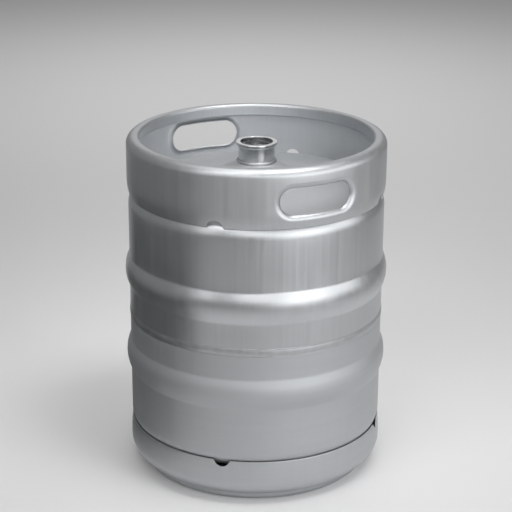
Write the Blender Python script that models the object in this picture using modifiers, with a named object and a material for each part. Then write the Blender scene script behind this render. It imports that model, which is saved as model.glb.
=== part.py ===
"""Stainless steel beer keg of 50 litres with its valve and spear, as separate pieces.

Metres, +Z up. The origin is on the keg's axis, at the level it stands on. The hand holds face
-Y and +Y, and the drain notches lie on the diagonals between them.
"""

from math import atan2, copysign, cos, pi, radians, sin, sqrt

import bmesh
import bpy
from mathutils import Matrix

# Keg body
KEG_HEIGHT = 0.532
BODY_R = 0.1975
HOOP_R = 0.2040
SHELL_WALL = 0.0015
GIRTH_Z = 0.252
HOOP_OFFSET = 0.0690
HOOP_ARC_R = 0.048
HOOP_FILLET_R = 0.012
KNUCKLE_R = 0.029
TOP_TANGENT_Z = 0.426
BOTTOM_TANGENT_Z = 0.087
TOP_CROWN_R = 0.800
BOTTOM_CROWN_R = 0.700
BOSS_R = 0.062
BOSS_TOP_Z = 0.4898
NECK_HOLE_R = 0.0291
WELD_ROOT = 0.001
WELD_CAP_HALF = 0.0065
WELD_CAP_RISE = 0.0009

# Chimes
CHIME_WALL = 0.0018
CHIME_R = 0.1993
CHIME_STRAIGHT_Z = 0.467
CHIME_FOOT_Z = 0.442
CHIME_PINCH_R = 0.084
RIM_ROUND_R = 0.0125
RIM_FLAT = 0.003
RIM_INNER_R = 0.0045
RIM_CURL_R = 0.005
RIM_CURL_Z = 0.512
RIM_TAIL_R = 0.192
SKIRT_R = 0.1992
SKIRT_WIDEST_Z = 0.0386
SKIRT_TOP_Z = 0.074
SKIRT_TOP_R = 0.1973
SKIRT_ROUND_R = 0.0233
SKIRT_TURN = radians(72)
FOOT_FILLET_R = 0.008
FOOT_FACET = radians(30)

# Hand holds and drain notches
HOLD_Z = 0.482
HOLD_HALF_LENGTH = 0.059
HOLD_HALF_HEIGHT = 0.0195
HOLD_BEND_R = 0.010
HOLD_TURN = radians(70)
HOLD_ANGLES = (radians(90), radians(270))
HOLD_COLUMNS = 3
HOLD_PATCH_LOW_Z = 0.4475
NOTCH_R = 0.0125
NOTCH_ANGLES = tuple(radians(a) for a in (45, 135, 225, 315))
BOTTOM_NOTCH_RISE = 0.0025
BOTTOM_NOTCH_TURN = radians(3)

# Stitch welds between the chimes and the shells
STITCH_R = 0.0013
STITCH_HALF_ANGLE = radians(27)
TOP_STITCH = (0.1927, 0.4450)
BOTTOM_STITCH = (0.19405, 0.0698)

# Neck and valve
NECK_R = 0.0279
NECK_BORE_R = 0.0246
NECK_BOTTOM_Z = 0.474
NECK_TOP_Z = 0.520
LIP_R = 0.03185
LIP_HEIGHT = 0.0045
LIP_CHAMFER = 0.0008
SEAT_R = 0.021
SEAT_Z = 0.482
GROOVE_R = 0.026
GROOVE_Z = 0.5032
GROOVE_HEIGHT = 0.0024
RING_INNER_R = 0.0226
RING_SPLIT = 0.009
SEAL_HEIGHT = 0.003
BORE_PLAY = 0.0004
NECK_WELD_HEIGHT = 0.0034
NECK_WELD_WIDTH = 0.0032
NECK_WELD_DROP = 0.0013
BODY_TOP_Z = 0.503
BODY_COLLAR_R = 0.0218
LUG_R = 0.0195
LUG_HEIGHT = 0.003
LUG_SLOT = 0.018
PORT_R = 0.0155
PORT_TOP_Z = 0.4945
PORT_SEAT_Z = 0.491
SLEEVE_R = 0.0206
SLEEVE_BORE_R = 0.0192
SLEEVE_BOTTOM_Z = 0.470
CAGE_R = 0.0189
CAGE_WALL = 0.0012
CAGE_TOP_Z = 0.476
CAGE_BOTTOM_Z = 0.436
CAGE_FLOOR = 0.002
CAGE_HOLE_R = 0.0086
CAGE_WINDOW = (0.012, 0.020)

# Spear tube and ball
VALVE_SEAL_R = 0.0172
VALVE_SEAL_BORE_R = 0.0083
VALVE_SEAL_HEIGHT = 0.0035
HEAD_FLANGE_R = 0.017
HEAD_FLANGE_HEIGHT = 0.0022
CUP_R = 0.013
CUP_BORE_R = 0.0115
CUP_FLOOR_Z = 0.463
CUP_FLOOR_THICKNESS = 0.002
CUP_FLOOR_DISH = 0.001
SOCKET_R = 0.0096
SOCKET_BORE_R = 0.0083
SOCKET_TOP_Z = 0.4585
SOCKET_BOTTOM_Z = 0.448
TUBE_R = 0.008
TUBE_BORE_R = 0.007
TUBE_BOTTOM_Z = 0.049
BALL_R = 0.010
MAIN_COIL_R = 0.0153
MAIN_WIRE_R = 0.0009
MAIN_TURNS = 6
BALL_COIL_R = 0.007
BALL_WIRE_R = 0.0006
BALL_TURNS = 3.5
BALL_COIL_TOP_Z = 0.473

# Clearance between touching pieces, and how finely round pieces are cut
GAP = 0.0003
RING_STEPS = 40
FITTING_STEPS = 24
COIL_STEPS = 10


def clear_scene():
    """Remove what the new file starts with."""
    for obj in list(bpy.data.objects):
        bpy.data.objects.remove(obj)


def new_collection(name):
    """Add a collection to the scene."""
    collection = bpy.data.collections.new(name)
    bpy.context.scene.collection.children.link(collection)
    return collection


clear_scene()
PARTS = new_collection("beer_keg")
CUTTERS = new_collection("cutters")


def material(name, colour, roughness, metallic):
    """Make a plain surface of one colour."""
    made = bpy.data.materials.new(name)
    made.use_nodes = True
    shader = made.node_tree.nodes["Principled BSDF"]
    shader.inputs["Base Color"].default_value = (*colour, 1.0)
    shader.inputs["Roughness"].default_value = roughness
    shader.inputs["Metallic"].default_value = metallic
    return made


def steel(name, roughness=0.35):
    """Make stainless steel for one piece."""
    return material(name + "_steel", (0.56, 0.57, 0.58), roughness, 1.0)


def rubber(name):
    """Make black sealing rubber for one piece."""
    return material(name + "_rubber", (0.02, 0.02, 0.02), 0.6, 0.0)


def add_part(name, data, surface):
    """Link one named piece with its material."""
    part = bpy.data.objects.new(name, data)
    data.materials.append(surface)
    PARTS.objects.link(part)
    return part


def smooth(mesh):
    """Shade a mesh smooth but keep its sharp corners."""
    mesh.shade_smooth()
    mesh.set_sharp_from_angle(angle=radians(40))


def turned(name, profile, surface, steps, closed=True):
    """Turn a profile of (radius, height) points, outer side first, about the Z axis."""
    mesh = bpy.data.meshes.new(name)
    edges = [(i, i + 1) for i in range(len(profile) - 1)]
    if closed:
        edges.append((len(profile) - 1, 0))
    mesh.from_pydata([(r, 0.0, z) for r, z in profile], edges, [])
    part = add_part(name, mesh, surface)
    screw = part.modifiers.new("turn", 'SCREW')
    screw.steps = steps
    screw.render_steps = steps
    screw.use_merge_vertices = True
    screw.merge_threshold = 0.00001
    return part


def sheet(part, thickness):
    """Give an open surface the thickness of its metal, on the inside."""
    wall = part.modifiers.new("wall", 'SOLIDIFY')
    wall.thickness = thickness
    wall.offset = -1.0
    wall.use_even_offset = True


def cut(part, cutter):
    """Take a cutter's shape out of a piece."""
    boolean = part.modifiers.new("cut", 'BOOLEAN')
    boolean.operation = 'DIFFERENCE'
    boolean.object = cutter


def add_cutter(name, bm):
    """Link a cutter that only shapes other pieces."""
    mesh = bpy.data.meshes.new(name)
    bm.to_mesh(mesh)
    bm.free()
    cutter = bpy.data.objects.new(name, mesh)
    cutter.hide_render = True
    cutter.display_type = 'WIRE'
    CUTTERS.objects.link(cutter)
    return cutter


def box_cutter(name, centre, size):
    """Make one box to cut with."""
    bm = bmesh.new()
    bmesh.ops.create_cube(bm, size=1.0)
    bmesh.ops.scale(bm, vec=size, verts=bm.verts)
    bmesh.ops.translate(bm, vec=centre, verts=bm.verts)
    return add_cutter(name, bm)


def notch_cutter(name, height, turn=0.0):
    """Make four radial rods near the diagonals that cut half-moon notches in an edge."""
    rod_length = 0.02
    bm = bmesh.new()
    for angle in NOTCH_ANGLES:
        made = bmesh.ops.create_cone(bm, cap_ends=True, segments=20, radius1=NOTCH_R,
                                     radius2=NOTCH_R, depth=rod_length)
        bmesh.ops.rotate(bm, verts=made["verts"], matrix=turn_matrix(radians(90), 'Y'))
        bmesh.ops.translate(bm, verts=made["verts"], vec=(BODY_R, 0.0, height))
        bmesh.ops.rotate(bm, verts=made["verts"], matrix=turn_matrix(angle + turn, 'Z'))
    return add_cutter(name, bm)


def turn_matrix(angle, axis):
    """Give the matrix of a turn about a main axis."""
    return Matrix.Rotation(angle, 3, axis)


def arc(centre, radius, start, end, count):
    """List count + 1 points along an arc, angles measured from +X towards +Z."""
    points = []
    for i in range(count + 1):
        angle = start + (end - start) * i / count
        points.append((centre[0] + radius * cos(angle), centre[1] + radius * sin(angle)))
    return points


def hoop(centre_z):
    """List one rolling hoop from its upper edge to its lower edge."""
    arc_centre_r = HOOP_R - HOOP_ARC_R
    fillet_r = BODY_R + HOOP_FILLET_R
    reach = sqrt((HOOP_ARC_R + HOOP_FILLET_R) ** 2 - (fillet_r - arc_centre_r) ** 2)
    meet = atan2(reach, fillet_r - arc_centre_r)
    points = [(BODY_R, centre_z + reach)]
    points += arc((arc_centre_r, centre_z), HOOP_ARC_R, meet, -meet, 4)
    points.append((BODY_R, centre_z - reach))
    return points


def crown_angle(crown_r):
    """Give the angle from the vertical where a head's crown meets its knuckle."""
    return atan2(BODY_R - KNUCKLE_R, sqrt((crown_r - KNUCKLE_R) ** 2 - (BODY_R - KNUCKLE_R) ** 2))


def crown_height(radius, crown_r):
    """Give a crown's height above its tangent line at one radius."""
    base = sqrt((crown_r - KNUCKLE_R) ** 2 - (BODY_R - KNUCKLE_R) ** 2)
    return sqrt(crown_r ** 2 - radius ** 2) - base


def upper_shell():
    """Draw the upper half of the vessel, from the neck hole down to the girth."""
    top = crown_angle(TOP_CROWN_R)
    profile = [(NECK_HOLE_R, BOSS_TOP_Z)]
    profile.append((BOSS_R, TOP_TANGENT_Z + crown_height(BOSS_R, TOP_CROWN_R)))
    profile += arc((BODY_R - KNUCKLE_R, TOP_TANGENT_Z), KNUCKLE_R, pi / 2 - top, 0.0, 4)
    profile += hoop(GIRTH_Z + HOOP_OFFSET)
    profile.append((BODY_R, GIRTH_Z + WELD_ROOT + GAP))
    part = turned("upper_shell", profile, steel("upper_shell"), RING_STEPS, closed=False)
    sheet(part, SHELL_WALL)


def lower_shell():
    """Draw the lower half of the vessel, from the girth down to its domed bottom."""
    bottom = crown_angle(BOTTOM_CROWN_R)
    profile = [(BODY_R, GIRTH_Z - WELD_ROOT - GAP)]
    profile += hoop(GIRTH_Z - HOOP_OFFSET)
    profile += arc((BODY_R - KNUCKLE_R, BOTTOM_TANGENT_Z), KNUCKLE_R, 0.0, bottom - pi / 2, 4)
    for radius in (BODY_R / 2, 0.0):
        profile.append((radius, BOTTOM_TANGENT_Z - crown_height(radius, BOTTOM_CROWN_R)))
    part = turned("lower_shell", profile, steel("lower_shell"), RING_STEPS, closed=False)
    sheet(part, SHELL_WALL)


def girth_weld():
    """Draw the weld that joins the two halves, its root between them and its cap outside."""
    root_r = BODY_R - SHELL_WALL
    cap_in = BODY_R + GAP
    cap_out = BODY_R + WELD_CAP_RISE
    profile = [(cap_out, GIRTH_Z + WELD_CAP_HALF), (cap_out, GIRTH_Z - WELD_CAP_HALF),
               (cap_in, GIRTH_Z - WELD_CAP_HALF), (cap_in, GIRTH_Z - WELD_ROOT),
               (root_r, GIRTH_Z - WELD_ROOT), (root_r, GIRTH_Z + WELD_ROOT),
               (cap_in, GIRTH_Z + WELD_ROOT), (cap_in, GIRTH_Z + WELD_CAP_HALF)]
    turned("girth_weld", profile, steel("girth_weld"), RING_STEPS)


def chime_radius(z):
    """Give the top chime's outer radius at one height of its wall."""
    drop = max(0.0, CHIME_STRAIGHT_Z - z)
    return CHIME_R - CHIME_PINCH_R + sqrt(CHIME_PINCH_R ** 2 - drop ** 2)


def rim_profile():
    """List the rolled rim from the top of the wall, over and round to its tucked-in edge."""
    flat_out = CHIME_R - RIM_ROUND_R
    flat_in = flat_out - RIM_FLAT
    inner = flat_in - RIM_INNER_R
    points = arc((flat_out, KEG_HEIGHT - RIM_ROUND_R), RIM_ROUND_R, 0.0, pi / 2, 3)
    points += arc((flat_in, KEG_HEIGHT - RIM_INNER_R), RIM_INNER_R, pi / 2, pi, 2)
    points += arc((inner + RIM_CURL_R, RIM_CURL_Z + RIM_CURL_R), RIM_CURL_R, pi, 3 * pi / 2, 2)
    points.append((RIM_TAIL_R, RIM_CURL_Z))
    return points


def chime_columns():
    """List the angles of the top chime's columns, twice as close across the hand holds."""
    step = 2 * pi / RING_STEPS
    angles = []
    for i in range(RING_STEPS):
        angles.append(i * step)
        middle = (i + 0.5) * step
        if any(abs(middle - hold) < HOLD_COLUMNS * step for hold in HOLD_ANGLES):
            angles.append(middle)
    return angles


def long_hole(u, v, half_width, half_height):
    """Match a point on a rectangle to a hole with round ends: its core point and its normal."""
    core = HOLD_HALF_LENGTH - HOLD_HALF_HEIGHT
    straight = half_width / 2
    if abs(u) <= straight:
        return u * core / straight, 0.0, copysign(1.0, v)
    walked = abs(u) - straight + half_height - abs(v)
    turn = pi / 2 * (1.0 - walked / (half_width - straight + half_height))
    return copysign(core, u), copysign(cos(turn), u), copysign(sin(turn), v)


def hold_ring(outline, radius, depth, hold):
    """Place one ring of a hand hold's lip, matched point for point to its outline."""
    half_width = max(u for u, v in outline)
    half_height = max(v for u, v in outline)
    places = []
    for u, v in outline:
        core_u, normal_u, normal_v = long_hole(u, v, half_width, half_height)
        along = core_u + normal_u * radius
        z = HOLD_Z + normal_v * radius
        r = chime_radius(z) - depth
        angle = hold + along / CHIME_R
        places.append((r * cos(angle), r * sin(angle), z))
    return places


def hold_lip(bm, border, outline, hold):
    """Bend the sheet inward round one hand hold, from its border in the wall to its edge."""
    bend_steps = 3
    rings = []
    for i in range(bend_steps + 1):
        turn = HOLD_TURN * i / bend_steps
        rings.append((HOLD_HALF_HEIGHT + HOLD_BEND_R * (1.0 - sin(turn)),
                      HOLD_BEND_R * (1.0 - cos(turn))))
    last = border
    for radius, depth in rings:
        ring = [bm.verts.new(place) for place in hold_ring(outline, radius, depth, hold)]
        for i in range(len(ring)):
            after = (i + 1) % len(ring)
            bm.faces.new((last[i], last[after], ring[after], ring[i]))
        last = ring


def top_chime():
    """Draw the top chime: pinched foot, straight wall with two hand holds, rolled rim."""
    patch_rows = 4
    patch_high = 2 * HOLD_Z - HOLD_PATCH_LOW_Z
    patch_height = patch_high - HOLD_PATCH_LOW_Z
    step = 2 * pi / RING_STEPS
    wall = [CHIME_FOOT_Z]
    wall += [HOLD_PATCH_LOW_Z + patch_height * i / patch_rows for i in range(patch_rows + 1)]
    profile = [(chime_radius(z), z) for z in wall] + rim_profile()
    angles = chime_columns()
    count = len(angles)
    bm = bmesh.new()
    grid = [[bm.verts.new((r * cos(a), r * sin(a), z)) for a in angles] for r, z in profile]
    holds = {}
    for hold in HOLD_ANGLES:
        across = [i for i, a in enumerate(angles) if abs(a - hold) < (HOLD_COLUMNS + 0.25) * step]
        holds[hold] = across
    open_cells = {i for across in holds.values() for i in across[:-1]}
    for row in range(len(profile) - 1):
        for column in range(count):
            if 1 <= row <= patch_rows and column in open_cells:
                continue
            after = (column + 1) % count
            bm.faces.new((grid[row][column], grid[row][after],
                          grid[row + 1][after], grid[row + 1][column]))
    low, high = 1, 1 + patch_rows
    for hold, across in holds.items():
        border = [(low, i) for i in across]
        border += [(row, across[-1]) for row in range(low + 1, high)]
        border += [(high, i) for i in reversed(across)]
        border += [(row, across[0]) for row in range(high - 1, low, -1)]
        outline = [((angles[i] - hold) * CHIME_R, wall[row] - HOLD_Z) for row, i in border]
        hold_lip(bm, [grid[row][i] for row, i in border], outline, hold)
    mesh = bpy.data.meshes.new("top_chime")
    bm.to_mesh(mesh)
    bm.free()
    smooth(mesh)
    part = add_part("top_chime", mesh, steel("top_chime"))
    sheet(part, CHIME_WALL)
    cut(part, notch_cutter("top_notches", CHIME_FOOT_Z))


def bottom_chime():
    """Draw the bottom chime: notched edge, barrel wall, round shoulder and rolled foot."""
    rise = SKIRT_TOP_Z - SKIRT_WIDEST_Z
    drop = SKIRT_R - SKIRT_TOP_R
    barrel_r = (rise ** 2 + drop ** 2) / (2 * drop)
    barrel = atan2(rise, barrel_r - drop)
    profile = arc((SKIRT_R - barrel_r, SKIRT_WIDEST_Z), barrel_r, barrel, 0.0, 2)
    shoulder = arc((SKIRT_R - SKIRT_ROUND_R, SKIRT_WIDEST_Z), SKIRT_ROUND_R, 0.0, -SKIRT_TURN, 3)
    profile += shoulder[1:]
    start_r, start_z = shoulder[-1]
    fillet = (start_r + FOOT_FILLET_R * cos(SKIRT_TURN), start_z - FOOT_FILLET_R * sin(SKIRT_TURN))
    profile += arc(fillet, FOOT_FILLET_R, pi - SKIRT_TURN, pi, 2)[1:]
    side_r, side_z = profile[-1]
    foot_r = side_z / cos(FOOT_FACET / 2)
    profile += arc((side_r - foot_r, side_z), foot_r, -FOOT_FACET / 2, -FOOT_FACET * 7.5, 7)
    part = turned("bottom_chime", profile, steel("bottom_chime"), RING_STEPS, closed=False)
    sheet(part, CHIME_WALL)
    cut(part, notch_cutter("bottom_notches", SKIRT_TOP_Z + BOTTOM_NOTCH_RISE, BOTTOM_NOTCH_TURN))


def wire(name, points, radius, surface):
    """Draw a round wire through points, with closed ends."""
    curve = bpy.data.curves.new(name, 'CURVE')
    curve.dimensions = '3D'
    curve.bevel_depth = radius
    curve.bevel_resolution = 1
    curve.use_fill_caps = True
    spline = curve.splines.new('POLY')
    spline.points.add(len(points) - 1)
    for spot, place in zip(spline.points, points):
        spot.co = (*place, 1.0)
    return add_part(name, curve, surface)


def stitch_welds(name, place):
    """Lay four weld beads round the keg, one between each pair of notches."""
    count = round(2 * STITCH_HALF_ANGLE * RING_STEPS / (2 * pi))
    for i in range(4):
        start = i * pi / 2 - STITCH_HALF_ANGLE
        angles = [start + 2 * STITCH_HALF_ANGLE * j / count for j in range(count + 1)]
        points = [(place[0] * cos(a), place[0] * sin(a), place[1]) for a in angles]
        node = f"{name}_{i + 1}"
        wire(node, points, STITCH_R, steel(node))


def neck():
    """Draw the neck: clamping lip, bore with a ring groove, and the seat for the valve body."""
    top_in = NECK_BORE_R + LIP_CHAMFER
    lip_low = NECK_TOP_Z - LIP_HEIGHT
    groove_top = GROOVE_Z + GROOVE_HEIGHT
    profile = [(top_in, NECK_TOP_Z), (LIP_R - LIP_CHAMFER, NECK_TOP_Z),
               (LIP_R, NECK_TOP_Z - LIP_CHAMFER), (LIP_R, lip_low + LIP_CHAMFER),
               (LIP_R - LIP_CHAMFER, lip_low), (NECK_R, lip_low), (NECK_R, NECK_BOTTOM_Z),
               (SEAT_R, NECK_BOTTOM_Z), (SEAT_R, SEAT_Z), (NECK_BORE_R, SEAT_Z),
               (NECK_BORE_R, GROOVE_Z), (GROOVE_R, GROOVE_Z), (GROOVE_R, groove_top),
               (NECK_BORE_R, groove_top), (NECK_BORE_R, NECK_TOP_Z - LIP_CHAMFER)]
    turned("neck", profile, steel("neck", 0.2), FITTING_STEPS)


def neck_weld():
    """Draw the weld bead round the neck on the boss of the upper shell."""
    inner = NECK_R + GAP
    low = BOSS_TOP_Z + 2 * GAP
    bulge = (inner + 0.6 * NECK_WELD_WIDTH, low + 0.4 * NECK_WELD_HEIGHT)
    profile = [(inner, low + NECK_WELD_HEIGHT), bulge,
               (inner + NECK_WELD_WIDTH, low - NECK_WELD_DROP), (inner, low)]
    turned("neck_weld", profile, steel("neck_weld"), FITTING_STEPS)


def body_seal():
    """Draw the seal that the valve body presses onto the neck's seat."""
    outer = NECK_BORE_R - BORE_PLAY
    inner = SEAT_R + GAP
    low = SEAT_Z + GAP
    profile = [(outer, low + SEAL_HEIGHT), (outer, low), (inner, low), (inner, low + SEAL_HEIGHT)]
    turned("body_seal", profile, rubber("body_seal"), FITTING_STEPS)


def extractor_body():
    """Draw the valve body: lugs for the coupler, gas port with its seat, sleeve for the cage."""
    outer = NECK_BORE_R - BORE_PLAY
    low = SEAT_Z + SEAL_HEIGHT + 2 * GAP
    lug_low = BODY_TOP_Z - LUG_HEIGHT
    profile = [(outer, BODY_TOP_Z), (outer, low), (SLEEVE_R, low), (SLEEVE_R, SLEEVE_BOTTOM_Z),
               (SLEEVE_BORE_R, SLEEVE_BOTTOM_Z), (SLEEVE_BORE_R, PORT_SEAT_Z),
               (PORT_R, PORT_SEAT_Z), (PORT_R, PORT_TOP_Z), (BODY_COLLAR_R, PORT_TOP_Z),
               (BODY_COLLAR_R, lug_low), (LUG_R, lug_low), (LUG_R, BODY_TOP_Z)]
    part = turned("extractor_body", profile, steel("extractor_body", 0.25), FITTING_STEPS)
    slot_size = (LUG_SLOT, 2 * (BODY_COLLAR_R - BORE_PLAY), LUG_HEIGHT + 2 * BORE_PLAY)
    slot = box_cutter("lug_slots", (0.0, 0.0, BODY_TOP_Z - LUG_HEIGHT / 2), slot_size)
    cut(part, slot)


def retaining_ring():
    """Draw the split ring that sits in the neck's groove above the valve body."""
    outer = GROOVE_R - GAP
    low = GROOVE_Z + GAP
    high = GROOVE_Z + GROOVE_HEIGHT - GAP
    profile = [(outer, high), (outer, low), (RING_INNER_R, low), (RING_INNER_R, high)]
    part = turned("retaining_ring", profile, steel("retaining_ring", 0.25), FITTING_STEPS)
    reach = 4 * (outer - RING_INNER_R)
    split = box_cutter("ring_split", (GROOVE_R, 0.0, low), (reach, RING_SPLIT, reach))
    cut(part, split)


def spring_cage():
    """Draw the cage that hangs from the valve body, with its gas windows and its floor."""
    bore = CAGE_R - CAGE_WALL
    floor = CAGE_BOTTOM_Z + CAGE_FLOOR
    profile = [(CAGE_R, CAGE_TOP_Z), (CAGE_R, CAGE_BOTTOM_Z), (CAGE_HOLE_R, CAGE_BOTTOM_Z),
               (CAGE_HOLE_R, floor), (bore, floor), (bore, CAGE_TOP_Z)]
    part = turned("spring_cage", profile, steel("spring_cage", 0.3), FITTING_STEPS)
    middle = (floor + SLEEVE_BOTTOM_Z) / 2
    width, height = CAGE_WINDOW
    cut(part, box_cutter("windows_along_x", (0.0, 0.0, middle), (3 * CAGE_R, width, height)))
    cut(part, box_cutter("windows_along_y", (0.0, 0.0, middle), (width, 3 * CAGE_R, height)))


def coil(low, high, radius, turns):
    """List points up a coil whose end turns lie flat."""
    flat = 0.75
    count = round(turns * COIL_STEPS)
    points = []
    for i in range(count + 1):
        turn = turns * i / count
        share = min(1.0, max(0.0, (turn - flat) / (turns - 2 * flat)))
        angle = 2 * pi * turn
        points.append((radius * cos(angle), radius * sin(angle), low + (high - low) * share))
    return points


def valve_levels():
    """Give the heights of the valve seal and of the tube head's flange."""
    seal_top = PORT_SEAT_Z - GAP
    seal_low = seal_top - VALVE_SEAL_HEIGHT
    flange_top = seal_low - GAP
    return seal_top, seal_low, flange_top, flange_top - HEAD_FLANGE_HEIGHT


def main_spring():
    """Draw the spring between the cage floor and the tube head's flange."""
    low = CAGE_BOTTOM_Z + CAGE_FLOOR + GAP + MAIN_WIRE_R
    high = valve_levels()[3] - GAP - MAIN_WIRE_R
    points = coil(low, high, MAIN_COIL_R, MAIN_TURNS)
    wire("main_spring", points, MAIN_WIRE_R, steel("main_spring", 0.3))


def valve_seal():
    """Draw the rubber ring that closes the gas port from below."""
    top, low = valve_levels()[:2]
    profile = [(VALVE_SEAL_R, top), (VALVE_SEAL_R, low), (VALVE_SEAL_BORE_R, low),
               (VALVE_SEAL_BORE_R, top)]
    return turned("valve_seal", profile, rubber("valve_seal"), FITTING_STEPS)


def tube_head():
    """Draw the tube head: flange under the seal, ball cup, and socket for the tube."""
    flange_top, flange_low = valve_levels()[2:]
    floor_low = SOCKET_TOP_Z + CUP_FLOOR_THICKNESS
    waist = CUP_FLOOR_Z - CUP_FLOOR_THICKNESS
    profile = [(HEAD_FLANGE_R, flange_top), (HEAD_FLANGE_R, flange_low), (CUP_R, flange_low),
               (CUP_R, waist), (SOCKET_R, SOCKET_TOP_Z), (SOCKET_R, SOCKET_BOTTOM_Z),
               (SOCKET_BORE_R, SOCKET_BOTTOM_Z), (SOCKET_BORE_R, SOCKET_TOP_Z),
               (TUBE_BORE_R, SOCKET_TOP_Z), (TUBE_BORE_R, floor_low),
               (CUP_BORE_R, CUP_FLOOR_Z), (CUP_BORE_R, flange_top)]
    return turned("tube_head", profile, steel("tube_head", 0.25), FITTING_STEPS)


def down_tube():
    """Draw the tube that reaches down almost to the bottom of the keg."""
    top = SOCKET_TOP_Z - GAP
    profile = [(TUBE_R, top), (TUBE_R, TUBE_BOTTOM_Z), (TUBE_BORE_R, TUBE_BOTTOM_Z),
               (TUBE_BORE_R, top)]
    return turned("down_tube", profile, steel("down_tube", 0.25), FITTING_STEPS)


def ball_spring():
    """Draw the small spring that holds the ball up against the seal."""
    low = CUP_FLOOR_Z - CUP_FLOOR_DISH + BALL_WIRE_R
    points = coil(low, BALL_COIL_TOP_Z, BALL_COIL_R, BALL_TURNS)
    return wire("ball_spring", points, BALL_WIRE_R, steel("ball_spring", 0.3))


def beer_ball():
    """Draw the ball that closes the beer way in the middle of the seal."""
    seal_low = valve_levels()[1]
    centre = seal_low - sqrt(BALL_R ** 2 - VALVE_SEAL_BORE_R ** 2) - GAP
    bm = bmesh.new()
    bmesh.ops.create_uvsphere(bm, u_segments=16, v_segments=10, radius=BALL_R)
    mesh = bpy.data.meshes.new("beer_ball")
    bm.to_mesh(mesh)
    bm.free()
    smooth(mesh)
    part = add_part("beer_ball", mesh, steel("beer_ball", 0.15))
    part.location.z = centre
    return part


def carrier(name, pieces, parent=None):
    """Hang pieces that travel together on an empty that stands on the keg's axis."""
    empty = bpy.data.objects.new(name, None)
    empty.parent = parent
    PARTS.objects.link(empty)
    for piece in pieces:
        piece.parent = empty
    return empty


upper_shell()
lower_shell()
girth_weld()
top_chime()
bottom_chime()
stitch_welds("top_chime_weld", TOP_STITCH)
stitch_welds("bottom_chime_weld", BOTTOM_STITCH)
neck()
neck_weld()
body_seal()
extractor_body()
retaining_ring()
spring_cage()
main_spring()
SPEAR = carrier("spear_travel", [valve_seal(), tube_head(), down_tube(), ball_spring()])
carrier("ball_travel", [beer_ball()], SPEAR)
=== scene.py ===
"""Fine surfaces, stage and camera for a steel beer keg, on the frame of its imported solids.

Metres, +Z up, in the same frame as the solids. Each operator makes one piece or one group of like
pieces, and the sidebar panel lists them.
"""

from math import atan2, ceil, copysign, cos, dist, pi, radians, sin, sqrt, tan

import bmesh
import bpy
from mathutils import Matrix, Vector


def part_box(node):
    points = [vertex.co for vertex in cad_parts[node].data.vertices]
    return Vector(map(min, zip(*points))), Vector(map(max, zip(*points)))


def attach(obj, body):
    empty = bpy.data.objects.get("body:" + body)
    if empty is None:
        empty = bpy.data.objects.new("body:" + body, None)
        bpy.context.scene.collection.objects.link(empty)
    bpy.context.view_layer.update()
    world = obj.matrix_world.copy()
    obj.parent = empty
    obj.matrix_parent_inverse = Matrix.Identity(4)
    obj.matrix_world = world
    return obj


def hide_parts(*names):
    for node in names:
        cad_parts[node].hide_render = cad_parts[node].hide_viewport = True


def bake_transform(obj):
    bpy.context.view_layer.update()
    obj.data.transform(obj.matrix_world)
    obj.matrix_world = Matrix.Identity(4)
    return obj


bl_info = {
    "name": "Beer Keg",
    "version": (1, 0, 0),
    "blender": (4, 5, 0),
    "location": "View3D > Sidebar > Keg",
    "description": "Finished surfaces of a steel beer keg with its valve and spear",
    "category": "Object",
}

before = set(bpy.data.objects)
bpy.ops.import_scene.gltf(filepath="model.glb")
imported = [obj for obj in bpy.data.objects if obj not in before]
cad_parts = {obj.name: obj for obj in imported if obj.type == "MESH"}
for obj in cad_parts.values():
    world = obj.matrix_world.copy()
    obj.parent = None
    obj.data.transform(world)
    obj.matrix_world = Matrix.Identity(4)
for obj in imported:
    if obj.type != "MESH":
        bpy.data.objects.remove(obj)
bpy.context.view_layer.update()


def low(node):
    """Give the height of a solid's lowest point."""
    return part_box(node)[0].z


def high(node):
    """Give the height of a solid's highest point."""
    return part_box(node)[1].z


def reach(node):
    """Give a round solid's outer radius."""
    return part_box(node)[1].x


# Cutting of round surfaces: steps round the large and the small turnings, and degrees on a bend
LARGE_STEPS = 192
SMALL_STEPS = 96
BEND_DEGREES = 9.0
SHARP_ANGLE = radians(38)

# Corners more open than this are left unrounded
FLAT_ANGLE = radians(178)

# Distance between rows of faces along the shells' outlines
ROW_SPACING = 0.012

# Points and lengths closer than this count as equal
TINY = 1e-6

# Clearance that the solids keep between touching pieces
GAP = 0.0003

# The girth weld's cap stands this much proud of the wall
WELD_RISE = 0.0009


def length(name, description, default):
    """Make a size property in metres."""
    return bpy.props.FloatProperty(name=name, description=description, default=default,
                                   unit='LENGTH', precision=4)


def turning(name, description, default):
    """Make an angle property."""
    return bpy.props.FloatProperty(name=name, description=description, default=default,
                                   unit='ROTATION')


def tint(name, description, default):
    """Make a colour property."""
    return bpy.props.FloatVectorProperty(name=name, description=description, default=default,
                                         subtype='COLOR', size=3, min=0.0, max=1.0)


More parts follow.
